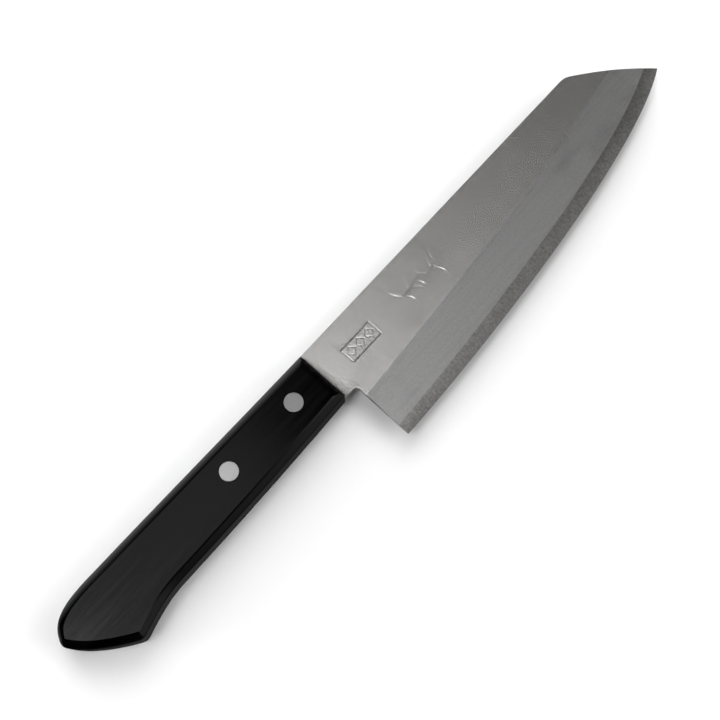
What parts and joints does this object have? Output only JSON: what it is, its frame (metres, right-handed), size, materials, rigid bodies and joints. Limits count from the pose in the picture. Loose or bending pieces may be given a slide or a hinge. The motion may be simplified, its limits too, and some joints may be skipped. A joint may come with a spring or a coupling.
{
  "type": "kitchen knife",
  "caption": "Kitchen knife with a tall clipped-tip blade of layered steel, a straight heel and a riveted black laminated-wood handle, for slicing and trimming by hand.",
  "frame": {"origin": "middle of the footprint, on the surface that the left side of the handle lies on", "axes": "+X along the blade towards the tip, +Y towards the spine (the cutting edge faces -Y), +Z out of the right side, upwards as it lies"},
  "size_m": [0.2688, 0.0422, 0.014],
  "materials": {
    "core_steel": "fine cross-ground edge band",
    "cladding_steel": "satin, brushed across the blade",
    "black_laminated_wood": "satin black, resin-filled veneer",
    "rivet_steel": "sanded flush, satin"
  },
  "bodies": {
    "root": {"blade_core": "core_steel", "cladding_right": "cladding_steel", "cladding_left": "cladding_steel", "handle": "black_laminated_wood", "rivet_front_stem": "rivet_steel", "rivet_front_socket": "rivet_steel", "rivet_rear_stem": "rivet_steel", "rivet_rear_socket": "rivet_steel"}
  },
  "joints": []
}
